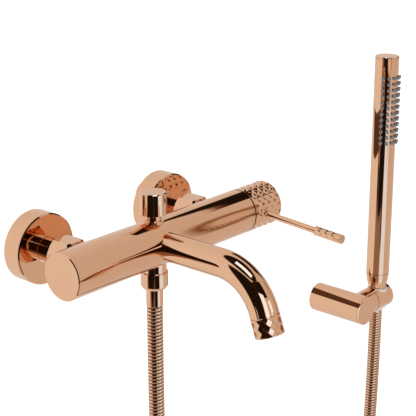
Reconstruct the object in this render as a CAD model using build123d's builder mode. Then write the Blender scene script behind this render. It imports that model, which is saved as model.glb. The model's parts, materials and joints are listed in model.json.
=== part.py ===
from build123d import *
from math import cos, pi, radians, sin, tan
import os

# Wall-mounted bath and shower mixer with its hose, handset and wall bracket.
# Millimetres. +X runs along the wall to the right, -Y comes out of the wall, +Z is up.
# The origin lies on the wall, halfway between the two water inlets.

os.makedirs("parts", exist_ok=True)

# ---- driving dimensions -------------------------------------------------------------
inlet_spacing = 150.0            # centre to centre of the two wall inlets
thread_radius = 10.48            # G1/2 male thread, outside
axis_y = -74.0                   # the mixer barrel's axis, in front of the wall
barrel_radius = 20.0
barrel_left = -110.0             # outer face of the left end cap
barrel_right = 104.0             # end face beside the handle ring
end_cap_thickness = 6.0
water_bore = 13.0                # radius of the mixed-water chamber
chamber_end = 40.0
cartridge_floor = 46.0
cartridge_bore = 12.6            # radius of the pocket that holds the 25 mm cartridge
outlet_x = -6.0                  # spout, diverter and hose outlet share this plane
boss_bore = 8.5                  # radius of the diverter and hose outlet holes

ring_start = 105.3               # the handle ring, after an even dark gap
ring_length = 36.0
ring_radius = 20.1
pivot_x = 86.0                   # where the cartridge lever tilts, deep in the barrel
lever_x = 119.0
lever_droop = 3.6                # degrees below level
lever_reach = 104.0              # tip, from the barrel's axis
lever_rod_radius = 2.9
lever_grip_radius = 4.1
lever_grip_length = 29.0

spout_radius = 12.0
spout_bore = 9.5
spout_z = 0.6
spout_straight_end = -149.0
spout_bend_radius = 46.0
spout_turn = 70.0
aerator_radius = 12.3
aerator_length = 16.5

escutcheon_radius = 30.3
escutcheon_depth = 18.0
union_offset = 6.0               # eccentric throw between the wall thread and the barrel
union_radius = 10.5
nut_flats = 29.0

knob_radius = 11.15
knob_bottom = 25.8
knob_top = 45.0
diverter_stem_radius = 6.4

hose_radius = 7.0
sleeve_radius = 7.3
hose_nut_radius = 11.7
hose_start_z = -55.5             # lower end of the ferrule sleeve at the mixer

bracket_x = 332.0                # axis of the bracket's wall barrel
bracket_z = -172.0
bracket_radius = 15.5
bracket_length = 65.0
bracket_bore = 13.4
arm_y = -50.0                    # the arm's axis, in front of the wall
arm_radius = 13.5
arm_end = 26.2                   # these four lengths run along +X from the bracket's axis
holder_start = 27.0
seat_offset = 41.5
holder_end = 56.0
seat_bore = 10.7
screw_spacing = 14.0
screw_hole_radius = 2.3

handset_radius = 12.5
handset_wall = 1.5
handset_bottom = 30.2            # above the arm's axis
handset_length = 238.0
nozzle_rows = 12
nozzle_columns = 5
nozzle_pitch = 6.3
nozzle_step = 27.0               # degrees between columns
nozzle_heading = -17.0           # degrees that the spray face turns towards the mixer
first_nozzle_drop = 20.0         # first row below the top of the tube
nozzle_radius = 1.7
nozzle_height = 2.6
hose_end_length = 66.0           # hose that lifts with the handset

gap = 0.05                       # slip clearance of pieces that sit in one another
seat_x = bracket_x + seat_offset
seam = 0.35                      # clearance of faces that pass each other

# The hose hangs in one bight from the mixer's outlet to the handset. The last run is
# straight, in line with the handset.
hose_route = [
    (outlet_x, axis_y, hose_start_z),
    (-6.0, -74.0, -175.0),
    (0.0, -73.0, -303.0),
    (20.0, -71.0, -434.0),
    (68.0, -68.0, -556.0),
    (150.0, -64.0, -634.0),
    (246.0, -59.0, -634.0),
    (316.0, -54.0, -566.0),
    (355.0, -51.5, -452.0),
    (seat_x, arm_y, -317.0),
    (seat_x, arm_y, bracket_z - 14.0),
]


# ---- helpers --------------------------------------------------------------------------
def along(origin, direction):
    """A plane whose Y runs along the direction, so an outline there is (radius, distance)."""
    run = Vector(*direction).normalized()
    side = Vector(1, 0, 0) if abs(run.X) < 1e-6 else Vector(0, 0, 1)
    return Plane(origin=origin, x_dir=side, z_dir=side.cross(run))


def turn(plane, outline, mode=Mode.ADD):
    """Add or cut a turned shape about the plane's Y axis."""
    with BuildSketch(plane) as profile:
        with BuildLine():
            Polyline(*outline, close=True)
        make_face()
    revolve(profile.sketch, axis=Axis(plane.origin, plane.y_dir), mode=mode)


def rod(plane, radius, start, end, mode=Mode.ADD):
    """Add or cut a plain round bar between two distances along the plane's Y axis."""
    turn(plane, [(0, start), (radius, start), (radius, end), (0, end)], mode)


def ring(plane, outer, inner, start, end, mode=Mode.ADD):
    """Add or cut a plain ring between two distances along the plane's Y axis."""
    turn(plane, [(inner, start), (outer, start), (outer, end), (inner, end)], mode)


def bent_rod(route_plane, start, straight_end, end_length, radius, mode=Mode.ADD):
    """Add or cut a round bar along the spout's straight run, its bend and its short end."""
    with BuildLine(route_plane) as route:
        Line(start, straight_end)
        bend = JernArc(straight_end, (-1, 0), spout_bend_radius, spout_turn)
        Line(bend @ 1, bend @ 1 + (bend % 1) * end_length)
    with BuildSketch(Plane(origin=route.line @ 0, z_dir=(0, -1, 0))) as section:
        Circle(radius)
    sweep(section.sketch, path=route.line, mode=mode)


def save(piece, name):
    """Label a finished piece and write its STEP file."""
    piece.part.label = name
    export_step(piece.part, "parts/" + name + ".step")


barrel = along((0, axis_y, 0), (1, 0, 0))
outlet_up = along((outlet_x, axis_y, 0), (0, 0, 1))
outlet_down = along((outlet_x, axis_y, 0), (0, 0, -1))
inlets = {"left": -inlet_spacing / 2, "right": inlet_spacing / 2}


# ---- mixer barrel -----------------------------------------------------------------------
stub_radius = 13.2               # G3/4 male stubs that take the union nuts
stub_end = -43.5
channel_radius = 2.6
channel_offset = 16.4            # supply channels run in the barrel's rear wall
port_offset = 6.0

with BuildPart() as mixer_body:
    rod(barrel, barrel_radius, barrel_left + end_cap_thickness, barrel_right)
    for inlet_x in inlets.values():
        rod(along((inlet_x, 0, 0), (0, -1, 0)), stub_radius, -stub_end, -axis_y)
    rod(barrel, water_bore, barrel_left + end_cap_thickness, chamber_end, Mode.SUBTRACT)
    rod(barrel, cartridge_bore, cartridge_floor, barrel_right, Mode.SUBTRACT)
    for inlet_x in inlets.values():
        rod(along((inlet_x, 0, 0), (0, -1, 0)), 8, -stub_end, 55.5, Mode.SUBTRACT)
        rod(along((inlet_x, 0, 0), (0, -1, 0)), 2.4, 55.5, 59, Mode.SUBTRACT)
    rear_channel = along((0, axis_y + channel_offset, 0), (1, 0, 0))
    rod(rear_channel, channel_radius, inlets["left"], 43, Mode.SUBTRACT)
    rod(rear_channel, channel_radius, 50, inlets["right"], Mode.SUBTRACT)
    rod(along((43, axis_y, 0), (0, 1, 0)), 2, port_offset, channel_offset, Mode.SUBTRACT)
    rod(along((50, axis_y, 0), (0, 1, 0)), 2, 10, channel_offset, Mode.SUBTRACT)
    rod(along((0, axis_y + port_offset, 0), (1, 0, 0)), 2, 43, 47, Mode.SUBTRACT)
    rod(along((0, axis_y - port_offset, 0), (1, 0, 0)), 3, 39, 47, Mode.SUBTRACT)
    rod(outlet_up, boss_bore, 8, 22, Mode.SUBTRACT)
    rod(outlet_down, boss_bore, 8, 22, Mode.SUBTRACT)
    rod(along((outlet_x, axis_y, 0), (0, -1, 0)), 9, 8, 22, Mode.SUBTRACT)
save(mixer_body, "mixer_body")

cap_plane = along((barrel_left, axis_y, 0), (1, 0, 0))
spigot_radius = water_bore - gap
with BuildPart() as left_end_cap:
    turn(cap_plane, [
        (0, 0), (barrel_radius - 0.7, 0), (barrel_radius, 0.7), (barrel_radius, 6),
        (spigot_radius, 6), (spigot_radius, 8.5), (11.6, 8.5), (11.6, 11),
        (spigot_radius, 11), (spigot_radius, 13), (0, 13),
    ])
save(left_end_cap, "left_end_cap")

with BuildPart() as end_cap_o_ring:
    ring(cap_plane, water_bore - gap, 11.65, 8.6, 10.9)
save(end_cap_o_ring, "end_cap_o_ring")


# ---- wall connections ---------------------------------------------------------------------
def wall_connection(side, inlet_x):
    """One eccentric union with its cover plate and its nut."""
    outward = along((inlet_x, 0, 0), (0, -1, 0))
    wall_thread = along((inlet_x, 0, union_offset), (0, 1, 0))
    web = along((inlet_x, 0, union_offset / 2), (0, -1, 0))
    with BuildPart() as s_union:
        rod(wall_thread, thread_radius, -3, 16)
        rod(web, 14.5, 3, 8)
        rod(outward, union_radius, 8, 38)
        rod(outward, 12.8, 38, 41.5)
        rod(wall_thread, 6.8, -5.5, 16, Mode.SUBTRACT)
        rod(outward, 7, 5.5, 41.5, Mode.SUBTRACT)
    save(s_union, "s_union_" + side)

    with BuildPart() as escutcheon:
        turn(outward, [
            (escutcheon_radius - 1.5, 0), (escutcheon_radius, 0),
            (escutcheon_radius, escutcheon_depth - 1), (escutcheon_radius - 1, escutcheon_depth),
            (union_radius + 0.3, escutcheon_depth), (union_radius + 0.3, escutcheon_depth - 1.5),
            (escutcheon_radius - 1.5, escutcheon_depth - 1.5),
        ])
    save(escutcheon, "escutcheon_" + side)

    with BuildPart() as union_nut:
        with BuildSketch(Plane.XZ.offset(34.5)):
            with Locations((inlet_x, 0)):
                RegularPolygon(nut_flats / 2, 6, major_radius=False)
        extrude(amount=19.3)
        corner = nut_flats / 2 + 0.4
        turn(outward, [
            (0, 34.5), (corner, 34.5), (corner + 2, 36.5), (corner + 2, 52), (corner, 53.8), (0, 53.8),
        ], Mode.INTERSECT)
        turn(outward, [(0, 34), (union_radius + 0.3, 34), (union_radius + 0.3, 38),
                       (stub_radius + 0.1, 38), (stub_radius + 0.1, 54), (0, 54)], Mode.SUBTRACT)
    save(union_nut, "union_nut_" + side)


for side_name, side_x in inlets.items():
    wall_connection(side_name, side_x)

with BuildPart() as inlet_washers:
    for inlet_x in inlets.values():
        ring(along((inlet_x, 0, 0), (0, -1, 0)), 12.7, 8, 41.5, -stub_end)
save(inlet_washers, "inlet_washers")

strainer_outline = [(6.6, 43.6), (7.9, 43.6), (7.9, 50), (0, 50), (0, 49), (6.6, 49)]
with BuildPart() as inlet_strainers:
    for inlet_x in inlets.values():
        turn(along((inlet_x, 0, 0), (0, -1, 0)), strainer_outline)
        with Locations(Plane(origin=(inlet_x, -50, 0), z_dir=(0, -1, 0))):
            with PolarLocations(4, 6):
                Hole(0.9, depth=3)
            Hole(0.9, depth=3)
save(inlet_strainers, "inlet_strainers")


# ---- cartridge ------------------------------------------------------------------------------
with BuildPart() as cartridge_seals:
    for offset in (-port_offset, port_offset):
        ring(along((0, axis_y + offset, 0), (1, 0, 0)), 4.6, 3.2, cartridge_floor, 47.5)
save(cartridge_seals, "cartridge_seals")

with BuildPart() as cartridge_base:
    rod(barrel, cartridge_bore - gap, 47.5, 51)
    for offset in (-port_offset, port_offset):
        rod(along((0, axis_y + offset, 0), (1, 0, 0)), 3, 47, 52, Mode.SUBTRACT)
save(cartridge_base, "cartridge_base")

with BuildPart() as ceramic_disc_fixed:
    rod(barrel, 10.9, 51, 55)
    for offset in (-port_offset, port_offset):
        rod(along((0, axis_y + offset, 0), (1, 0, 0)), 2.5, 50, 56, Mode.SUBTRACT)
save(ceramic_disc_fixed, "ceramic_disc_fixed")

with BuildPart() as ceramic_disc_moving:
    rod(barrel, 10.4, 55 + gap, 59)
    rod(barrel, 5, 55, 57, Mode.SUBTRACT)
save(ceramic_disc_moving, "ceramic_disc_moving")

neck_radius = 8.0
with BuildPart() as cartridge_housing:
    turn(barrel, [
        (11, 51), (cartridge_bore - gap, 51), (cartridge_bore - gap, 90),
        (neck_radius, 90), (neck_radius, 68), (11, 68),
    ])
save(cartridge_housing, "cartridge_housing")

slot_half = 4.1
foot_radius = 5.5
pin_radius = 1.2
pivot_up = along((pivot_x, axis_y, 0), (0, 0, 1))
with BuildPart() as cartridge_rotor:
    rod(barrel, 10.4, 59, 67.5)
    rod(barrel, neck_radius - gap, 67.5, 88.5)
    with BuildSketch(Plane.XY.offset(-slot_half)):
        with Locations((pivot_x, axis_y)):
            Rectangle(13, 20)
    extrude(amount=2 * slot_half, mode=Mode.SUBTRACT)
    rod(pivot_up, pin_radius, -8, 8, Mode.SUBTRACT)
save(cartridge_rotor, "cartridge_rotor")

with BuildPart() as rotor_pin:
    rod(pivot_up, pin_radius, -7, 7)
save(rotor_pin, "rotor_pin")

with BuildPart() as cartridge_nut:
    ring(barrel, cartridge_bore - gap, 8.8, 90, 96)
save(cartridge_nut, "cartridge_nut")

with BuildPart() as cartridge_bonnet:
    turn(barrel, [(8.8, 96), (12.5, 96), (12.5, 104), (11.5, 107), (8.8, 107)])
save(cartridge_bonnet, "cartridge_bonnet")


# ---- handle -----------------------------------------------------------------------------------
spindle_radius = 4.0
lever_direction = (0, -cos(radians(lever_droop)), -sin(radians(lever_droop)))
lever_plane = along((lever_x, axis_y, 0), lever_direction)
grub_plane = along((lever_x, axis_y, 0), (0, 0, -1))

with BuildPart() as cartridge_spindle:
    rod(pivot_up, foot_radius, gap - 4, 4 - gap)
    rod(barrel, spindle_radius - gap, pivot_x, 130)
    rod(pivot_up, pin_radius + gap, -8, 8, Mode.SUBTRACT)
save(cartridge_spindle, "cartridge_spindle")

ring_plane = along((ring_start, axis_y, 0), (1, 0, 0))
with BuildPart() as handle_ring:
    turn(ring_plane, [
        (19, 0), (ring_radius, 0), (ring_radius, ring_length - 0.6), (ring_radius - 0.6, ring_length),
        (0, ring_length), (0, 25), (spindle_radius, 25), (spindle_radius, 6.7), (8, 6.7),
        (8, 32.7), (17.3, 32.7), (17.3, 9), (19, 9),
    ])
    rod(lever_plane, lever_rod_radius + gap, 3, 22, Mode.SUBTRACT)
    rod(grub_plane, 2.05, 3, 22, Mode.SUBTRACT)
save(handle_ring, "handle_ring")

with BuildPart() as handle_grub_screw:
    rod(grub_plane, 2, 4.2, 8)
    with BuildSketch(Plane(origin=(lever_x, axis_y, -8), z_dir=(0, 0, 1))):
        RegularPolygon(1, 6)
    extrude(amount=2, mode=Mode.SUBTRACT)
save(handle_grub_screw, "handle_grub_screw")

grip_start = lever_reach - lever_grip_length
with BuildPart() as lever_rod:
    rod(lever_plane, lever_rod_radius, 5, lever_reach - 3)
save(lever_rod, "lever_rod")

with BuildPart() as lever_grip:
    turn(lever_plane, [
        (lever_rod_radius + gap, grip_start), (lever_grip_radius - 0.3, grip_start),
        (lever_grip_radius, grip_start + 0.3), (lever_grip_radius, lever_reach - 0.5),
        (lever_grip_radius - 0.5, lever_reach), (0, lever_reach), (0, lever_reach - 2.9),
        (lever_rod_radius + gap, lever_reach - 2.9),
    ])
save(lever_grip, "lever_grip")


# ---- diverter ------------------------------------------------------------------------------------
valve_top = -3.0
valve_bottom = -5.0
seat_z = -6.5
bonnet_bottom = 8.0

with BuildPart() as diverter_bonnet:
    ring(outlet_up, boss_bore - gap, diverter_stem_radius + gap, bonnet_bottom, 20.2)
save(diverter_bonnet, "diverter_bonnet")

with BuildPart() as diverter_stem:
    rod(outlet_up, 8, valve_bottom, valve_top)
    rod(outlet_up, diverter_stem_radius, valve_top, 40)
save(diverter_stem, "diverter_stem")

with BuildPart() as diverter_washer:
    rod(outlet_up, 8, seat_z, valve_bottom)
save(diverter_washer, "diverter_washer")

with BuildPart() as diverter_knob:
    turn(outlet_up, [
        (diverter_stem_radius + gap, knob_bottom), (knob_radius - 0.5, knob_bottom),
        (knob_radius, knob_bottom + 0.5), (knob_radius, knob_top - 0.7),
        (knob_radius - 0.7, knob_top), (0, knob_top), (0, 40.1), (diverter_stem_radius + gap, 40.1),
    ])
save(diverter_knob, "diverter_knob")

spring_wire = 0.5
spring_radius = 7.25
spring_bottom = valve_top + spring_wire + gap
spring_height = bonnet_bottom - valve_top - 2 * spring_wire - 2 * gap
with BuildPart() as diverter_spring:
    with BuildLine(Plane(origin=(outlet_x, axis_y, spring_bottom))):
        coil = Helix(pitch=spring_height / 4, height=spring_height, radius=spring_radius)
    with BuildSketch(Plane(origin=coil @ 0, z_dir=coil % 0)):
        Circle(spring_wire)
    sweep(is_frenet=True)
save(diverter_spring, "diverter_spring")


# ---- spout ---------------------------------------------------------------------------------------
spout_plane = Plane.YZ.offset(outlet_x)
spout_start = (-84, spout_z)
spout_bend_start = (spout_straight_end, spout_z)
turn_angle = radians(spout_turn)
neck_length = 2.5
tip_direction = (0, -cos(turn_angle), -sin(turn_angle))
bend_end_y = spout_straight_end - spout_bend_radius * sin(turn_angle)
bend_end_z = spout_z - spout_bend_radius * (1 - cos(turn_angle))
tip_origin = (
    outlet_x,
    bend_end_y + tip_direction[1] * neck_length,
    bend_end_z + tip_direction[2] * neck_length,
)
tip_plane = along(tip_origin, tip_direction)

with BuildPart() as spout:
    bent_rod(spout_plane, spout_start, spout_bend_start, neck_length, spout_radius)
    rod(tip_plane, 10.7, 0, 8)
    bent_rod(spout_plane, spout_start, spout_bend_start, neck_length, spout_bore, Mode.SUBTRACT)
    rod(tip_plane, 9, -1, 9, Mode.SUBTRACT)
    rod(barrel, barrel_radius, outlet_x - 30, outlet_x + 30, Mode.SUBTRACT)
save(spout, "spout")

with BuildPart() as aerator_ring:
    turn(tip_plane, [
        (10.75, 0.4), (aerator_radius - 0.4, 0.4), (aerator_radius, 0.8),
        (aerator_radius, aerator_length - 0.5), (aerator_radius - 0.5, aerator_length),
        (9.4, aerator_length), (9.4, 14.5), (10.75, 14.5),
    ])
save(aerator_ring, "aerator_ring")

with BuildPart() as aerator_washer:
    ring(tip_plane, 10.6, 8.6, 8, 9)
save(aerator_washer, "aerator_washer")

with BuildPart() as aerator_insert:
    turn(tip_plane, [(0, 12.5), (9, 12.5), (9, 9), (10.6, 9), (10.6, 14.4), (9.2, 14.4), (9.2, 14), (0, 14)])
    tip_face = Plane(origin=Vector(*tip_origin) + Vector(*tip_direction) * 14, z_dir=tip_direction)
    with Locations(tip_face):
        for circle_radius, hole_count in ((2.6, 6), (5.2, 12), (7.6, 18)):
            with PolarLocations(circle_radius, hole_count):
                Hole(0.7, depth=2)
save(aerator_insert, "aerator_insert")


# ---- hose outlet and the hose's mixer end ---------------------------------------------------------
with BuildPart() as outlet_nipple:
    turn(outlet_down, [
        (6, -seat_z), (boss_bore - gap, -seat_z), (boss_bore - gap, 17), (thread_radius, 17),
        (thread_radius, 34), (6, 34),
    ])
    with BuildSketch(Plane.YZ.offset(outlet_x - 15)):
        with Locations((axis_y, 0)):
            Circle(barrel_radius)
            Circle(boss_bore + 4.5, mode=Mode.SUBTRACT)
    extrude(amount=30, mode=Mode.SUBTRACT)
    rod(outlet_down, boss_bore - gap, -seat_z, 21)
    rod(outlet_down, 6, -seat_z - 1, 35, Mode.SUBTRACT)
save(outlet_nipple, "outlet_nipple")

with BuildPart() as outlet_check_valve:
    turn(outlet_down, [(0, 24), (5.9, 24), (5.9, 32), (4.6, 32), (4.6, 26), (0, 26)])
    with Locations(Plane(origin=(outlet_x, axis_y, -24))):
        with PolarLocations(3.2, 4):
            Hole(0.9, depth=3)
save(outlet_check_valve, "outlet_check_valve")

with BuildPart() as hose_washer_mixer:
    ring(outlet_down, 10, 6.5, 34, 36)
save(hose_washer_mixer, "hose_washer_mixer")

with BuildPart() as hose_nut:
    turn(outlet_down, [
        (thread_radius + gap, 25), (hose_nut_radius, 25), (hose_nut_radius, 37), (10, 39.5),
        (sleeve_radius + 0.3, 39.5), (sleeve_radius + 0.3, 37.8), (thread_radius + gap, 37.8),
    ])
save(hose_nut, "hose_nut")

with BuildPart() as hose_ferrule:
    turn(outlet_down, [
        (5, 36), (9.8, 36), (9.8, 37.6), (sleeve_radius, 37.6), (sleeve_radius, -hose_start_z),
        (5, -hose_start_z),
    ])
save(hose_ferrule, "hose_ferrule")


# ---- hose --------------------------------------------------------------------------------------
def corner_radii(points):
    """The largest tangent arc that each corner's shorter run allows."""
    radii = []
    for before, here, after in zip(points, points[1:], points[2:]):
        first = Vector(*here) - Vector(*before)
        second = Vector(*after) - Vector(*here)
        half_turn = radians(first.get_angle(second)) / 2
        radii.append(0.45 * min(first.length, second.length) / tan(half_turn))
    return radii


split_z = bracket_z - 14 - hose_end_length
hose_radii = corner_radii(hose_route)
print("hose radii", [round(radius) for radius in hose_radii])
tube_points = hose_route[:-1] + [(seat_x, arm_y, split_z - seam)]
with BuildPart() as hose_run:
    with BuildLine() as hose_path:
        FilletPolyline(*tube_points, radius=hose_radii)
    with BuildSketch(Plane(origin=tube_points[0], z_dir=(0, 0, -1))):
        Circle(hose_radius)
    sweep()
save(hose_run, "hose_run")
tube_length = hose_path.wires()[0].length
print("hose length", round(tube_length + seam + hose_end_length, 1))
print("tube volume over section times length",
      round(hose_run.part.volume / (pi * hose_radius ** 2 * tube_length), 5))

seat_up = along((seat_x, arm_y, bracket_z), (0, 0, 1))
with BuildPart() as hose_end_run:
    rod(seat_up, hose_radius, -14 - hose_end_length, -14)
save(hose_end_run, "hose_end_run")

# The conical nut seats in the holder, and carries the handset's thread at its top.
nut_outline = [(12.4, 30), (12.4, 28), (11.4, 20.5), (9.3, 13), (7.5, -14)]
with BuildPart() as hose_cone_nut:
    turn(seat_up, nut_outline + [
        (7.05, -14), (7.05, 16), (8.4, 18), (thread_radius + gap, 21), (thread_radius + gap, 30),
    ])
save(hose_cone_nut, "hose_cone_nut")

with BuildPart() as hose_end_ferrule:
    turn(seat_up, [(5, -14), (7, -14), (7, 16.05), (8.3, 18.1), (8.3, 19.5), (5, 19.5)])
save(hose_end_ferrule, "hose_end_ferrule")

with BuildPart() as hose_washer_handset:
    ring(seat_up, 9.5, 6, 19.6, 21.4)
save(hose_washer_handset, "hose_washer_handset")


# ---- handset -------------------------------------------------------------------------------------
handset_top = handset_bottom + handset_length
handset_bore = handset_radius - handset_wall
first_row = handset_top - first_nozzle_drop
nozzle_angles = [
    radians(nozzle_heading + nozzle_step * (column - (nozzle_columns - 1) / 2))
    for column in range(nozzle_columns)
]
row_heights = [first_row - nozzle_pitch * row for row in range(nozzle_rows)]


def nozzle_bars(radius, start, end, mode):
    """Add or cut a short radial bar at every nozzle."""
    for height in row_heights:
        for angle in nozzle_angles:
            place = (seat_x, arm_y, bracket_z + height)
            rod(along(place, (sin(angle), -cos(angle), 0.0)), radius, start, end, mode)


with BuildPart() as handset_tube:
    turn(seat_up, [
        (handset_bore, handset_bottom), (handset_radius - 0.3, handset_bottom),
        (handset_radius, handset_bottom + 0.3), (handset_radius, handset_top),
        (handset_bore, handset_top),
    ])
    nozzle_bars(nozzle_radius + 0.1, 9, 14, Mode.SUBTRACT)
save(handset_tube, "handset_tube")

with BuildPart() as handset_end_cap:
    turn(seat_up, [
        (0, handset_top - 6), (handset_bore - gap, handset_top - 6),
        (handset_bore - gap, handset_top + 0.2), (handset_radius, handset_top + 0.2),
        (handset_radius, handset_top + 1.4), (handset_radius - 0.6, handset_top + 2),
        (0, handset_top + 2),
    ])
save(handset_end_cap, "handset_end_cap")

mat_bottom = row_heights[-1] - 5
mat_top = first_row + 5
with BuildPart() as nozzle_mat:
    ring(seat_up, handset_bore - gap, 9.7, mat_bottom, mat_top)
    nozzle_bars(nozzle_radius, 10.2, handset_radius + nozzle_height, Mode.ADD)
    nozzle_bars(0.55, 9, handset_radius + nozzle_height + 1, Mode.SUBTRACT)
save(nozzle_mat, "nozzle_mat")

with BuildPart() as spray_core:
    turn(seat_up, [
        (7.5, handset_bottom + 9), (handset_bore - gap, handset_bottom + 9),
        (handset_bore - gap, mat_bottom - 0.1), (9.6, mat_bottom - 0.1), (9.6, mat_top + 0.1),
        (handset_bore - gap, mat_top + 0.1), (handset_bore - gap, handset_top - 6.1),
        (0, handset_top - 6.1), (0, mat_top - 3), (7.5, mat_top - 3),
    ])
    nozzle_bars(0.8, 6, 11, Mode.SUBTRACT)
save(spray_core, "spray_core")

with BuildPart() as handset_inlet:
    turn(seat_up, [
        (6.5, 21.5), (thread_radius, 21.5), (thread_radius, 30.3), (handset_bore - gap, 30.3),
        (handset_bore - gap, handset_bottom + 8.9), (6.5, handset_bottom + 8.9),
    ])
save(handset_inlet, "handset_inlet")

with BuildPart() as flow_limiter:
    turn(seat_up, [(0, 31), (6.4, 31), (6.4, 36), (5, 36), (5, 33), (0, 33)])
    with Locations(Plane(origin=(seat_x, arm_y, bracket_z + 33))):
        with PolarLocations(3, 5):
            Hole(0.8, depth=4)
save(flow_limiter, "flow_limiter")


# ---- wall bracket ---------------------------------------------------------------------------------
bracket_out = along((bracket_x, 0, bracket_z), (0, -1, 0))
arm = along((bracket_x, arm_y, bracket_z), (1, 0, 0))
axle_radius = 4.0
cap_front = bracket_length
cap_back = bracket_length - 2.5

with BuildPart() as bracket_barrel:
    ring(bracket_out, bracket_radius, bracket_bore, 0, cap_back - 0.2)
    rod(arm, axle_radius + gap, 10, 18, Mode.SUBTRACT)
    rod(along((bracket_x, -3, bracket_z), (0, 0, -1)), 2.05, 10, 18, Mode.SUBTRACT)
save(bracket_barrel, "bracket_barrel")

with BuildPart() as bracket_front_cap:
    turn(bracket_out, [
        (0, cap_back - 6), (bracket_bore - gap, cap_back - 6), (bracket_bore - gap, cap_back),
        (bracket_radius, cap_back), (bracket_radius, cap_front - 0.7),
        (bracket_radius - 0.7, cap_front), (0, cap_front),
    ])
save(bracket_front_cap, "bracket_front_cap")

with BuildPart() as bracket_wall_plate:
    rod(bracket_out, bracket_bore - gap, 0, 6)
    with Locations(Plane(origin=(bracket_x, -6, bracket_z), x_dir=(1, 0, 0), z_dir=(0, -1, 0))):
        with GridLocations(screw_spacing, 1, 2, 1):
            CounterSinkHole(screw_hole_radius, 4.0, depth=6)
save(bracket_wall_plate, "bracket_wall_plate")

with BuildPart() as bracket_grub_screw:
    rod(along((bracket_x, -3, bracket_z), (0, 0, -1)), 2, bracket_bore + gap, 15.2)
save(bracket_grub_screw, "bracket_grub_screw")

with BuildPart() as bracket_arm:
    ring(arm, arm_radius, axle_radius + gap, 4, arm_end)
    rod(bracket_out, bracket_radius, 30, 70, Mode.SUBTRACT)
save(bracket_arm, "bracket_arm")

with BuildPart() as holder_axle:
    rod(arm, axle_radius, 6, 30)
save(holder_axle, "holder_axle")

with BuildPart() as axle_nut:
    with BuildSketch(Plane.YZ.offset(bracket_x + 7.2)):
        with Locations((arm_y, bracket_z)):
            RegularPolygon(6.2, 6)
            Circle(axle_radius + gap, mode=Mode.SUBTRACT)
    extrude(amount=4)
save(axle_nut, "axle_nut")

with BuildPart() as friction_washer:
    ring(arm, 12.3, axle_radius + gap, arm_end, holder_start - gap)
save(friction_washer, "friction_washer")

liner_outline = [(7.9, -15), (seat_bore - gap, -15), (seat_bore - gap, 13), (9.6, 13)]
slot_width = 15.2
with BuildPart() as shower_holder:
    turn(arm, [
        (0, holder_start), (arm_radius, holder_start), (arm_radius, holder_end - 1.2),
        (arm_radius - 1.2, holder_end), (0, holder_end),
    ])
    rod(seat_up, seat_bore, -20, 20, Mode.SUBTRACT)
    rod(arm, axle_radius + gap, holder_start - 1, 30.1, Mode.SUBTRACT)
    with BuildSketch(Plane.XY.offset(bracket_z - 20)):
        with Locations((seat_x, arm_y + 10)):
            Rectangle(slot_width, 20)
    extrude(amount=40, mode=Mode.SUBTRACT)
save(shower_holder, "shower_holder")

with BuildPart() as holder_liner:
    turn(seat_up, liner_outline)
    with BuildSketch(Plane.XY.offset(bracket_z - 20)):
        with Locations((seat_x, arm_y + 10)):
            Rectangle(slot_width, 20)
    extrude(amount=40, mode=Mode.SUBTRACT)
    with BuildSketch(Plane.YZ.offset(bracket_x)):
        with Locations((arm_y, bracket_z)):
            Rectangle(60, 60)
            Circle(arm_radius + 1.5, mode=Mode.SUBTRACT)
    extrude(amount=60, mode=Mode.SUBTRACT)
save(holder_liner, "holder_liner")
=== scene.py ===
"""Studio scene of the wall-mounted bath and shower mixer, in metres, in the CAD model's frame."""
import json
import math

import bmesh
import bpy
from mathutils import Matrix, Vector


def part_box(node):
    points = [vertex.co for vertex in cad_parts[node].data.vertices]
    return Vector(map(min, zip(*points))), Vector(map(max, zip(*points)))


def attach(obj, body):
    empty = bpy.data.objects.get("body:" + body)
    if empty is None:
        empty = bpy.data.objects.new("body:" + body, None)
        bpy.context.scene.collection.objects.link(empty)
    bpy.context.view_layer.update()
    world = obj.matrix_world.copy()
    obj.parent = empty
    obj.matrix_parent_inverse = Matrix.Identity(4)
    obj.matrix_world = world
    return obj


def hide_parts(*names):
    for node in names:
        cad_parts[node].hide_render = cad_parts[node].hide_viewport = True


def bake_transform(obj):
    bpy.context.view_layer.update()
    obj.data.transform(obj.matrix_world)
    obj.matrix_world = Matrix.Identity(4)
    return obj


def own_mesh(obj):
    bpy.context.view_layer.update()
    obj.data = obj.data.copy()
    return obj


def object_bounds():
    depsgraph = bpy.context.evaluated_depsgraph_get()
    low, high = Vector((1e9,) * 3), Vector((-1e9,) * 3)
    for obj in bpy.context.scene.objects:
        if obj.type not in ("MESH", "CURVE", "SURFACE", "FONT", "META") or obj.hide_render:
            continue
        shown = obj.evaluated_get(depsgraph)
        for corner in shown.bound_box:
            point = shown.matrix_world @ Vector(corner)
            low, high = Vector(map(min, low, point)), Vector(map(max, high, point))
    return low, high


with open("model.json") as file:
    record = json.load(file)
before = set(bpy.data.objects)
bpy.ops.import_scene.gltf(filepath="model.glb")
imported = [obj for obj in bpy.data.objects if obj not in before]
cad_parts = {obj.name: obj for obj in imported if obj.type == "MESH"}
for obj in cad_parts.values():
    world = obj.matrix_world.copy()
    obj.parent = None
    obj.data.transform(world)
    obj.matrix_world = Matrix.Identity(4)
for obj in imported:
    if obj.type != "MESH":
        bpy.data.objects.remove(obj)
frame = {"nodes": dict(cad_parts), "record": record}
cad_low, cad_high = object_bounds()
MM = 0.001
subparts = frame["record"]["subparts"]


# ---- places that the frame gives ----------------------------------------------------------------
def span(node, axis):
    """A node's lowest and highest value along X, Y or Z."""
    low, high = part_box(node)
    index = "XYZ".index(axis)
    return low[index], high[index]


def middle(node):
    low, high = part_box(node)
    return (low + high) / 2


barrel_axis = middle("left_end_cap")
seat = middle("shower_holder")
ring_start, ring_end = span("handle_ring", "X")
studio_centre = Vector((middle("spout").x, barrel_axis.y, barrel_axis.z))


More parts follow.
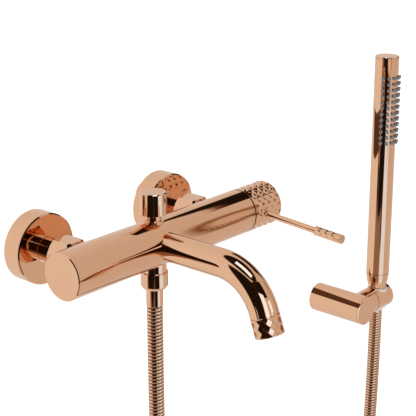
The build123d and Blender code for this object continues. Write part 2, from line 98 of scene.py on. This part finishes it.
def frame_along(origin, direction):
    """A matrix whose Z runs along the direction, placed at the origin."""
    z_axis = Vector(direction).normalized()
    helper = Vector((0, 0, 1)) if abs(z_axis.z) < 0.9 else Vector((0, -1, 0))
    x_axis = helper.cross(z_axis).normalized()
    y_axis = z_axis.cross(x_axis)
    turn = Matrix((x_axis, y_axis, z_axis)).transposed()
    return Matrix.Translation(origin) @ turn.to_4x4()


# ---- camera --------------------------------------------------------------------------------------
def make_camera():
    """A long lens from the left of the mixer, a little above it."""
    data = bpy.data.cameras.new("camera")
    data.lens = 108.1
    data.sensor_width = 36.0
    data.clip_start = 0.05
    data.clip_end = 60.0
    camera = bpy.data.objects.new("camera", data)
    camera.location = (-0.7154, -0.7539, 0.3540)
    camera.rotation_euler = (math.radians(71.77), 0.0, math.radians(-48.85))
    bpy.context.scene.collection.objects.link(camera)
    bpy.context.scene.camera = camera


# ---- node helpers --------------------------------------------------------------------------------
def new_material(name, base, metallic, roughness):
    """A Principled material whose constants sit on the shader's own sockets."""
    material = bpy.data.materials.new(name)
    material.use_nodes = True
    shader = material.node_tree.nodes["Principled BSDF"]
    shader.inputs["Base Color"].default_value = (*base, 1)
    shader.inputs["Metallic"].default_value = metallic
    shader.inputs["Roughness"].default_value = roughness
    return material, material.node_tree, shader


def add(tree, kind, **sockets):
    """A node with some of its sockets set."""
    node = tree.nodes.new(kind)
    for name, value in sockets.items():
        node.inputs[name.replace("_", " ")].default_value = value
    return node


def object_noise(tree, scale, detail=4.0, stretch=(1, 1, 1)):
    """Noise over the object's own coordinates, stretched where brushing has a direction."""
    place = tree.nodes.new("ShaderNodeTexCoord")
    mapping = add(tree, "ShaderNodeMapping", Scale=stretch)
    noise = add(tree, "ShaderNodeTexNoise", Scale=scale, Detail=detail, Roughness=0.55)
    tree.links.new(place.outputs["Object"], mapping.inputs["Vector"])
    tree.links.new(mapping.outputs["Vector"], noise.inputs["Vector"])
    return noise.outputs["Fac"]


def spread(tree, factor, low, high):
    """The factor mapped to the range from low to high."""
    node = add(tree, "ShaderNodeMapRange", From_Min=0.3, From_Max=0.7, To_Min=low, To_Max=high)
    tree.links.new(factor, node.inputs["Value"])
    return node.outputs["Result"]


def between(tree, factor, first, second):
    """A colour that runs from the first to the second as the factor rises."""
    node = tree.nodes.new("ShaderNodeValToRGB")
    node.color_ramp.elements[0].position = 0.35
    node.color_ramp.elements[0].color = (*first, 1)
    node.color_ramp.elements[1].position = 0.65
    node.color_ramp.elements[1].color = (*second, 1)
    tree.links.new(factor, node.inputs["Fac"])
    return node.outputs["Color"]


def bump(tree, shader, height, distance, strength):
    node = add(tree, "ShaderNodeBump", Distance=distance, Strength=strength)
    tree.links.new(height, node.inputs["Height"])
    tree.links.new(node.outputs["Normal"], shader.inputs["Normal"])


def finish(name, tints, metallic, roughness, grain, stretch=(1, 1, 1), relief=0.0):
    """A surface with mottled colour and roughness, and fine relief where it has some."""
    material, tree, shader = new_material(name, tints[0], metallic, roughness[0])
    colour = between(tree, object_noise(tree, grain * 0.35), *tints)
    tree.links.new(colour, shader.inputs["Base Color"])
    rough = spread(tree, object_noise(tree, grain, 5.0, stretch), *roughness)
    tree.links.new(rough, shader.inputs["Roughness"])
    if relief:
        bump(tree, shader, object_noise(tree, grain * 2.2, 3.0, stretch), relief, 0.4)
    return material


# ---- materials -----------------------------------------------------------------------------------
ROSE = (0.860, 0.520, 0.325)
ROSE_WARM = (0.845, 0.500, 0.305)


def lacquer(material, weight):
    """The clear coat over the plating."""
    shader = material.node_tree.nodes["Principled BSDF"]
    shader.inputs["Coat Weight"].default_value = weight
    shader.inputs["Coat Roughness"].default_value = 0.02
    return material


def rose_gold():
    """Polished plating: a mirror with faint wipe marks."""
    material = finish("rose_gold", (ROSE, ROSE_WARM), 1.0, (0.022, 0.05), 90, relief=0.000002)
    return lacquer(material, 0.35)


def knurled_rose_gold():
    """The same plating on machined diamonds, a little less smooth."""
    tints = (ROSE, ROSE_WARM)
    material = finish("knurled_rose_gold", tints, 1.0, (0.04, 0.09), 260, relief=0.000004)
    return lacquer(material, 0.6)


def hose_metal():
    """Plated strip, with painted brown shade in the grooves where the turns lock into one another."""
    material, tree, shader = new_material("hose_metal", ROSE, 1.0, 0.08)
    place = tree.nodes.new("ShaderNodeAttribute")
    place.attribute_name = "groove_shade"
    # Painted shade: the colour runs from the warm plating on the crests to dark brown deep in the grooves.
    ramp = tree.nodes.new("ShaderNodeValToRGB")
    ramp.color_ramp.elements[0].position = 0.1
    ramp.color_ramp.elements[0].color = (*ROSE_WARM, 1)
    ramp.color_ramp.elements[1].position = 0.6
    ramp.color_ramp.elements[1].color = (0.10, 0.045, 0.022, 1)
    tree.links.new(place.outputs["Fac"], ramp.inputs["Fac"])
    tree.links.new(ramp.outputs["Color"], shader.inputs["Base Color"])
    rough = spread(tree, object_noise(tree, 420, 4.0), 0.05, 0.12)
    tree.links.new(rough, shader.inputs["Roughness"])
    bump(tree, shader, object_noise(tree, 900, 3.0), 0.00001, 0.4)
    return lacquer(material, 0.4)


def bonnet_metal():
    return finish("bonnet_metal", (ROSE, ROSE_WARM), 1.0, (0.16, 0.26), 500, (1, 1, 8), 0.00001)


def raw_brass():
    tints = ((0.62, 0.45, 0.18), (0.55, 0.38, 0.14))
    return finish("raw_brass", tints, 1.0, (0.18, 0.32), 600, (1, 1, 12), 0.00001)


def steel():
    tints = ((0.58, 0.58, 0.59), (0.50, 0.50, 0.52))
    return finish("steel", tints, 1.0, (0.18, 0.30), 700, (14, 1, 1), 0.000008)


def silicone():
    """Grey nozzle rubber with a dull skin."""
    tints = ((0.24, 0.25, 0.26), (0.19, 0.20, 0.21))
    return finish("silicone", tints, 0.0, (0.42, 0.55), 1500, relief=0.00002)


def ceramic():
    tints = ((0.84, 0.84, 0.81), (0.80, 0.79, 0.76))
    return finish("ceramic", tints, 0.0, (0.08, 0.16), 300, relief=0.000003)


def plastic():
    tints = ((0.78, 0.78, 0.75), (0.72, 0.72, 0.69))
    return finish("plastic", tints, 0.0, (0.32, 0.45), 900, relief=0.00001)


def rubber():
    tints = ((0.020, 0.020, 0.021), (0.032, 0.031, 0.030))
    return finish("rubber", tints, 0.0, (0.55, 0.75), 1100, relief=0.00002)


MAKERS = (
    rose_gold, knurled_rose_gold, hose_metal, bonnet_metal, raw_brass,
    steel, silicone, ceramic, plastic, rubber,
)


def paint_nodes(materials):
    """Every CAD node takes the finish of its slot in the record."""
    for subpart in subparts:
        node = frame["nodes"][subpart["node"]]
        material = materials[subpart["material_slot"]]
        node.data.materials.clear()
        node.data.materials.append(material)


# ---- mesh helpers --------------------------------------------------------------------------------
def as_object(name, mesh, material, crisp=30):
    """A new piece from a bmesh, with edges sharper than that many degrees kept crisp."""
    bmesh.ops.recalc_face_normals(mesh, faces=mesh.faces[:])
    for face in mesh.faces:
        face.smooth = True
    for edge in mesh.edges:
        edge.smooth = len(edge.link_faces) == 2 and edge.calc_face_angle() < math.radians(crisp)
    data = bpy.data.meshes.new(name)
    mesh.to_mesh(data)
    mesh.free()
    data.materials.append(material)
    piece = bpy.data.objects.new(name, data)
    bpy.context.scene.collection.objects.link(piece)
    return piece


def ring_of(mesh, place, radius, height, angles):
    """A ring of vertices round the plane's Z."""
    return [
        mesh.verts.new(place @ Vector((radius * math.cos(a), radius * math.sin(a), height)))
        for a in angles
    ]


def join_rings(mesh, first, second):
    """Faces between two rings; a ring of one vertex is a pole."""
    count = max(len(first), len(second))
    for i in range(count):
        j = (i + 1) % count
        near = [first[i % len(first)], first[j % len(first)]]
        far = [second[j % len(second)], second[i % len(second)]]
        mesh.faces.new(list(dict.fromkeys(near + far)))


def lathe(mesh, place, outline, segments=144):
    """A closed outline of (radius, height) points turned round the plane's Z."""
    angles = [2 * math.pi * i / segments for i in range(segments)]
    rings = [
        ring_of(mesh, place, radius, height, angles) if radius else pole(mesh, place, height)
        for radius, height in outline
    ]
    for first, second in zip(rings, rings[1:] + rings[:1]):
        if len(first) + len(second) > 2:
            join_rings(mesh, first, second)


def pole(mesh, place, height):
    return [mesh.verts.new(place @ Vector((0, 0, height)))]


def diamond_ways(level, rows):
    """The four corners of a diamond as steps from its middle, without those past the ends."""
    ways = ((-0.5, 0), (0, -0.5), (0.5, 0), (0, 0.5))
    return [way for way in ways if 0 <= level + way[1] <= rows]


def knurl(mesh, place, start, end, around, rows, base, crest, bore, top):
    """A sleeve of raised diamonds in whole rows, closed by plain ends and a plain bore.

    top is the share of each diamond that is flat."""
    step = (end - start) / rows
    feet = {}

    def foot(turn, level):
        key = (round(2 * turn) % (2 * around), round(2 * level))
        if key not in feet:
            angle = 2 * math.pi * turn / around
            point = (base * math.cos(angle), base * math.sin(angle), start + step * level)
            feet[key] = mesh.verts.new(place @ Vector(point))
        return feet[key]

    def tip(turn, level, way):
        angle = 2 * math.pi * turn / around
        sideways = 2 * math.pi * crest / around * way[0] * top
        point = Vector((crest * math.cos(angle), crest * math.sin(angle), 0))
        point += Vector((-math.sin(angle), math.cos(angle), 0)) * sideways
        point.z = start + step * (level + way[1] * top)
        return mesh.verts.new(place @ point)

    def diamond(turn, level):
        """One diamond, or the half of it that lies between the sleeve's ends."""
        ways = diamond_ways(level, rows)
        around_foot = [foot(turn + way[0], level + way[1]) for way in ways]
        around_top = [tip(turn, level, way) for way in ways]
        for i in range(len(ways)):
            j = (i + 1) % len(ways)
            mesh.faces.new((around_foot[i], around_foot[j], around_top[j], around_top[i]))
        mesh.faces.new(around_top)

    for column in range(around):
        for row in range(rows):
            diamond(column, row + 0.5)
        for row in range(rows + 1):
            diamond(column + 0.5, row)

    angles = [2 * math.pi * column / around for column in range(around)]
    low_bore = ring_of(mesh, place, bore, start, angles)
    high_bore = ring_of(mesh, place, bore, end, angles)
    join_rings(mesh, [foot(column, 0) for column in range(around)], low_bore)
    join_rings(mesh, low_bore, high_bore)
    join_rings(mesh, high_bore, [foot(column, rows) for column in range(around)])


# ---- knurled parts ---------------------------------------------------------------------------------
def make_handle_ring(material):
    """The ring round the cartridge: a plain lip, four rows of low diamonds, a chamfered end."""
    place = frame_along((ring_start, barrel_axis.y, barrel_axis.z), (1, 0, 0))
    radius = (span("handle_ring", "Z")[1] - span("handle_ring", "Z")[0]) / 2
    length = ring_end - ring_start
    lip, rim = 3.0 * MM, 1.4 * MM
    root = radius - 1.3 * MM
    mesh = bmesh.new()
    lathe(mesh, place, [
        (radius - 1.1 * MM, 0), (radius - 0.15 * MM, 0), (radius, 0.15 * MM), (radius, lip), (root, lip),
        (root, length - rim), (radius, length - rim), (radius, length - 0.6 * MM),
        (radius - 0.6 * MM, length), (0, length), (0, 0.8 * length), (17.3 * MM, 0.8 * length),
        (17.3 * MM, 9 * MM), (radius - 1.1 * MM, 9 * MM),
    ])
    knurl(
        mesh, place, lip, length - rim, around=17, rows=4,
        base=radius - 0.6 * MM, crest=radius, bore=root - 0.6 * MM, top=0.3,
    )
    piece = as_object("handle_ring_knurled", mesh, material, 4)
    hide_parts("handle_ring")
    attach(piece, "handle")
    return piece


def make_lever_grip(material):
    """The sleeve at the lever's tip: long diamonds, then a plain rounded end."""
    rod, grip = middle("lever_rod"), middle("lever_grip")
    direction = (grip - rod).normalized()
    radius = (span("lever_grip", "X")[1] - span("lever_grip", "X")[0]) / 2
    length = 29 * MM
    place = frame_along(grip - direction * length / 2, direction)
    root = radius - 0.6 * MM
    first, last = 1.4 * MM, 22.4 * MM
    mesh = bmesh.new()
    lathe(mesh, place, [
        (3 * MM, 0), (radius - 0.3 * MM, 0), (radius, 0.3 * MM), (radius, first), (root, first),
        (root, last), (radius, last), (radius, length - 0.6 * MM), (radius - 0.2 * MM, length - 0.2 * MM),
        (radius - 0.6 * MM, length), (0, length), (0, length - 2.9 * MM), (3 * MM, length - 2.9 * MM),
    ], 72)
    knurl(
        mesh, place, first, last, around=7, rows=3,
        base=radius - 0.14 * MM, crest=radius, bore=3.02 * MM, top=0.3,
    )
    piece = as_object("lever_grip_knurled", mesh, material, 8)
    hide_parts("lever_grip")
    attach(piece, "handle")
    return piece


def make_aerator_ring(material):
    """The ring at the spout's tip: two rows of tall flat facets, edge to edge."""
    insert, washer = middle("aerator_insert"), middle("aerator_washer")
    direction = (insert - washer).normalized()
    ring = middle("aerator_ring")
    length, radius = 16.1 * MM, 12.3 * MM
    place = frame_along(ring - direction * length / 2, direction)
    root = radius - 1.0 * MM
    first, last = 0.7 * MM, length - 0.9 * MM
    mesh = bmesh.new()
    lathe(mesh, place, [
        (10.75 * MM, 0), (radius - 0.3 * MM, 0), (radius, 0.3 * MM), (radius, first), (root, first),
        (root, last), (radius, last), (radius, length - 0.5 * MM), (radius - 0.5 * MM, length),
        (9.4 * MM, length), (9.4 * MM, length - 2 * MM), (10.75 * MM, length - 2 * MM),
    ])
    knurl(
        mesh, place, first, last, around=14, rows=2,
        base=radius - 0.5 * MM, crest=radius - 0.3 * MM, bore=root - 0.45 * MM, top=0.94,
    )
    piece = as_object("aerator_ring_knurled", mesh, material, 4)
    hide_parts("aerator_ring")
    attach(piece, "root")
    return piece


# ---- spring ----------------------------------------------------------------------------------------
def make_diverter_spring():
    """The coil above the valve as a piece of its own."""
    low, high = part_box("diverter_spring")
    data = frame["nodes"]["diverter_spring"].data.copy()
    piece = bpy.data.objects.new("diverter_spring_coil", data)
    bpy.context.scene.collection.objects.link(piece)
    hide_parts("diverter_spring")
    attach(piece, "root")
    top = middle("diverter_spring")
    top.z = high.z
    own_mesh(piece)
    return piece


# ---- hose ------------------------------------------------------------------------------------------
def route_points():
    """The hose's route from the ferrule at the mixer to the handset's cone nut."""
    return [
        Vector(point) * MM
        for point in (
            (-6.0, -74.0, -55.5),
            (-6.0, -74.0, -175.0),
            (0.0, -73.0, -303.0),
            (20.0, -71.0, -434.0),
            (68.0, -68.0, -556.0),
            (150.0, -64.0, -634.0),
            (246.0, -59.0, -634.0),
            (316.0, -54.0, -566.0),
            (355.0, -51.5, -452.0),
            (373.5, -50.0, -317.0),
            (373.5, -50.0, -186.0),
        )
    ]


def smooth_line(points):
    """Points read from the NURBS curve whose control points are given."""
    data = bpy.data.curves.new("route", "CURVE")
    data.dimensions = "3D"
    data.resolution_u = 64
    spline = data.splines.new("NURBS")
    spline.points.add(len(points) - 1)
    for control, point in zip(spline.points, points):
        control.co = (*point, 1)
    spline.order_u = 3
    spline.use_endpoint_u = True
    carrier = bpy.data.objects.new("route", data)
    line = bpy.data.meshes.new_from_object(carrier)
    found = [vertex.co.copy() for vertex in line.vertices]
    bpy.data.objects.remove(carrier)
    bpy.data.meshes.remove(line)
    return found


def lengths_along(line):
    total = [0.0]
    for here, there in zip(line, line[1:]):
        total.append(total[-1] + (there - here).length)
    return total


def even_line(line, step):
    """Points spread evenly along the line, about one step apart."""
    total = lengths_along(line)
    count = max(2, round(total[-1] / step))
    made = []
    index = 0
    for i in range(count + 1):
        wanted = total[-1] * i / count
        while index < len(line) - 2 and total[index + 1] < wanted:
            index += 1
        share = (wanted - total[index]) / (total[index + 1] - total[index])
        made.append(line[index].lerp(line[index + 1], share))
    return made


# The winding's outline over one pitch: share of the pitch, and depth below the crest in mm.
HOSE_PITCH = 3.2 * MM
WINDING = ((0.0, 0.9), (0.13, 0.3), (0.28, 0.05), (0.5, 0.0), (0.72, 0.05), (0.87, 0.3))


def spiral_hose(mesh, line, radius, segments=28):
    """A tube of spiral-wound strip: the rings carry the winding's outline, a turn every pitch."""
    per_turn = len(WINDING)
    # Each vertex keeps how deep it lies in the winding, as the mask of the painted groove shade.
    groove_shade = mesh.verts.layers.float.new("groove_shade")
    centres = even_line(line, HOSE_PITCH / per_turn)
    side = Vector((1, 0, 0))
    rings = []
    for i, centre in enumerate(centres):
        ahead = (centres[min(i + 1, len(centres) - 1)] - centres[max(i - 1, 0)]).normalized()
        side = (side - ahead * side.dot(ahead)).normalized()
        across = ahead.cross(side)
        ring = []
        for k in range(segments):
            angle = 2 * math.pi * k / segments
            depth = winding_depth(i / per_turn - k / segments)
            reach = radius - depth * MM
            out = side * math.cos(angle) + across * math.sin(angle)
            vertex = mesh.verts.new(centre + out * reach)
            # The depth share is the mask for the painted brown shade in the grooves.
            vertex[groove_shade] = depth / WINDING[0][1]
            ring.append(vertex)
        rings.append(ring)
    for first, second in zip(rings, rings[1:]):
        join_rings(mesh, first, second)
    mesh.faces.new(rings[0])
    mesh.faces.new(list(reversed(rings[-1])))


def winding_depth(turns):
    """Depth of the outline at a share of a turn, straight between its points."""
    share = turns % 1.0
    points = list(WINDING) + [(1.0, WINDING[0][1])]
    for (here, low), (there, high) in zip(points, points[1:]):
        if share <= there:
            return low + (high - low) * (share - here) / (there - here)
    return WINDING[0][1]


def make_hose(material):
    """The free hose; the short stretch inside its end that follows the handset up is made by
    make_hose_end.
    """
    line = smooth_line(route_points())
    mesh = bmesh.new()
    spiral_hose(mesh, line, 7.0 * MM)
    hose = as_object("spiral_hose", mesh, material)
    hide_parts("hose_run")
    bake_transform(hose)
    return hose


def make_hose_end(material):
    low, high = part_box("hose_end_run")
    top = Vector((seat.x, (low.y + high.y) / 2, high.z))
    mesh = bmesh.new()
    spiral_hose(mesh, [Vector((top.x, top.y, low.z)), top], 6.6 * MM, 24)
    piece = as_object("spiral_hose_end", mesh, material)
    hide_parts("hose_end_run")
    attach(piece, "hose_end")
    return piece


# ---- stage ---------------------------------------------------------------------------------------
def studio_floor():
    """A pale floor below the hose."""
    mesh = bmesh.new()
    bmesh.ops.create_grid(mesh, x_segments=1, y_segments=1, size=12.0)
    data = bpy.data.meshes.new("studio_floor")
    mesh.to_mesh(data)
    mesh.free()
    material, tree, shader = new_material("studio_floor", (0.92, 0.92, 0.92), 0.0, 0.6)
    shader.inputs["Emission Color"].default_value = (1, 1, 1, 1)
    shader.inputs["Emission Strength"].default_value = 0.55
    data.materials.append(material)
    floor = bpy.data.objects.new("studio_floor", data)
    floor.location = (0, 0, cad_low.z - 0.02)
    floor.visible_glossy = False
    bpy.context.scene.collection.objects.link(floor)


def studio_world():
    """Soft light all round, a little dimmer and warmer on the handle's side."""
    world = bpy.data.worlds.new("studio")
    world.use_nodes = True
    tree = world.node_tree
    place = tree.nodes.new("ShaderNodeTexCoord")
    side = tree.nodes.new("ShaderNodeVectorMath")
    side.operation = "DOT_PRODUCT"
    side.inputs[1].default_value = (-0.8, 0.6, 0.0)
    tree.links.new(place.outputs["Generated"], side.inputs[0])
    share = add(tree, "ShaderNodeMapRange", From_Min=-0.7, From_Max=0.9)
    tree.links.new(side.outputs["Value"], share.inputs["Value"])
    ramp = tree.nodes.new("ShaderNodeValToRGB")
    ramp.color_ramp.elements[0].color = (0.68, 0.62, 0.57, 1)
    ramp.color_ramp.elements[1].color = (0.86, 0.84, 0.82, 1)
    tree.links.new(share.outputs["Result"], ramp.inputs["Fac"])
    tree.links.new(ramp.outputs["Color"], tree.nodes["Background"].inputs["Color"])
    bpy.context.scene.world = world


def card_material(name, tint, rim, disc, soft):
    """Light of one colour that fades out through the rim colour over the soft share of the card."""
    material = bpy.data.materials.new(name)
    material.use_nodes = True
    tree = material.node_tree
    place = tree.nodes.new("ShaderNodeTexCoord")
    reach = tree.nodes.new("ShaderNodeVectorMath")
    reach.operation = "LENGTH" if disc else "ABSOLUTE"
    tree.links.new(place.outputs["Object"], reach.inputs[0])
    if disc:
        distance = reach.outputs["Value"]
    else:
        split = tree.nodes.new("ShaderNodeSeparateXYZ")
        tree.links.new(reach.outputs["Vector"], split.inputs[0])
        largest = tree.nodes.new("ShaderNodeMath")
        largest.operation = "MAXIMUM"
        tree.links.new(split.outputs["X"], largest.inputs[0])
        tree.links.new(split.outputs["Y"], largest.inputs[1])
        distance = largest.outputs["Value"]
    share = add(tree, "ShaderNodeMapRange", From_Max=0.5)
    tree.links.new(distance, share.inputs["Value"])
    ramp = tree.nodes.new("ShaderNodeValToRGB")
    ramp.color_ramp.elements[0].position = 1 - soft
    ramp.color_ramp.elements[0].color = (*tint, 1)
    ramp.color_ramp.elements[1].position = 1.0
    ramp.color_ramp.elements[1].color = (*rim, 0)
    middle_stop = ramp.color_ramp.elements.new(1 - soft / 2)
    middle_stop.color = (*rim, 1)
    tree.links.new(share.outputs["Result"], ramp.inputs["Fac"])
    light = tree.nodes.new("ShaderNodeEmission")
    clear = tree.nodes.new("ShaderNodeBsdfTransparent")
    mix = tree.nodes.new("ShaderNodeMixShader")
    tree.links.new(ramp.outputs["Color"], light.inputs["Color"])
    tree.links.new(ramp.outputs["Alpha"], mix.inputs[0])
    tree.links.new(clear.outputs[0], mix.inputs[1])
    tree.links.new(light.outputs[0], mix.inputs[2])
    tree.links.new(mix.outputs[0], tree.nodes["Material Output"].inputs["Surface"])
    return material


FLAG = (0.014, 0.009, 0.006)
FLAG_RIM = (0.17, 0.08, 0.035)


def grey(level):
    return (level, 0.985 * level, 0.96 * level)


def daylight(level):
    """Cool light, so that a highlight on the warm plating is nearly white."""
    return (0.77 * level, level, 1.33 * level)


def card(name, heading, height, distance, width, tall, tint, rim=None, disc=False, soft=0.11,
         around=studio_centre):
    """A card round the object that its polish reflects: heading is degrees from +X towards +Y,
    height is degrees above level."""
    direction = Vector((
        math.cos(math.radians(height)) * math.cos(math.radians(heading)),
        math.cos(math.radians(height)) * math.sin(math.radians(heading)),
        math.sin(math.radians(height)),
    ))
    mesh = bmesh.new()
    if disc:
        bmesh.ops.create_circle(mesh, cap_ends=True, segments=48, radius=0.5)
    else:
        bmesh.ops.create_grid(mesh, x_segments=1, y_segments=1, size=0.5)
    data = bpy.data.meshes.new(name)
    mesh.to_mesh(data)
    mesh.free()
    data.materials.append(card_material(name, tint, rim or tint, disc, soft))
    panel = bpy.data.objects.new(name, data)
    panel.matrix_world = (
        frame_along(around + direction * distance, -direction)
        @ Matrix.Diagonal((width, tall, 1, 1))
    )
    panel.visible_camera = False
    panel.visible_diffuse = False
    panel.visible_shadow = False
    bpy.context.scene.collection.objects.link(panel)


def build_stage():
    """Pale all round, with dark cards for the dark streaks and bright ones for the highlights."""
    studio_floor()
    studio_world()
    card("flag_dome", -110, 84, 1.7, 2.1, 2.1, FLAG, FLAG_RIM, disc=True)
    card("box_top", -112, 77, 1.4, 0.50, 0.80, daylight(1.7))
    card("flag_left", 197, 12, 1.6, 2.2, 2.6, FLAG, FLAG_RIM)
    card("flag_left_foot", 197, -45, 1.6, 2.0, 1.2, (0.30, 0.20, 0.14))
    card("flag_low", 246, -19, 1.5, 1.0, 0.46, FLAG, FLAG_RIM)
    card("flag_high", -99, 42, 1.55, 1.5, 0.72, FLAG, FLAG_RIM)
    card("strip_left", 180.5, -15, 1.3, 0.16, 0.3, grey(0.5))
    card("box_window", -113, 19, 1.45, 0.62, 0.80, daylight(1.55))
    card("box_window_right", -74, 15, 1.45, 0.46, 0.40, daylight(1.45))
    card("flag_roof", 8, 29, 1.6, 1.06, 0.86, FLAG, FLAG_RIM)
    ring_side = Vector((ring_start - 0.03, barrel_axis.y - 0.02, barrel_axis.z))
    card("loop_right", -43, 6, 0.3, 0.12, 0.30, (0.66, 0.54, 0.44), (0.24, 0.09, 0.03),
         disc=True, soft=0.66, around=ring_side)
    card("box_handset", -111, -16, 0.6, 0.42, 0.5, daylight(1.15), around=seat)
    bracket = middle("bracket_barrel")
    card("flag_bracket", 132, 44, 0.2, 0.26, 0.11, (0.10, 0.05, 0.028), (0.34, 0.18, 0.09),
         around=bracket)


# ---- build ---------------------------------------------------------------------------------------
def main():
    make_camera()
    bpy.context.scene.view_settings.view_transform = "Standard"
    materials = {maker.__name__: maker() for maker in MAKERS}
    paint_nodes(materials)
    make_hose(materials["hose_metal"])
    make_hose_end(materials["hose_metal"])
    make_handle_ring(materials["knurled_rose_gold"])
    make_lever_grip(materials["knurled_rose_gold"])
    make_aerator_ring(materials["knurled_rose_gold"])
    make_diverter_spring()
    build_stage()


main()
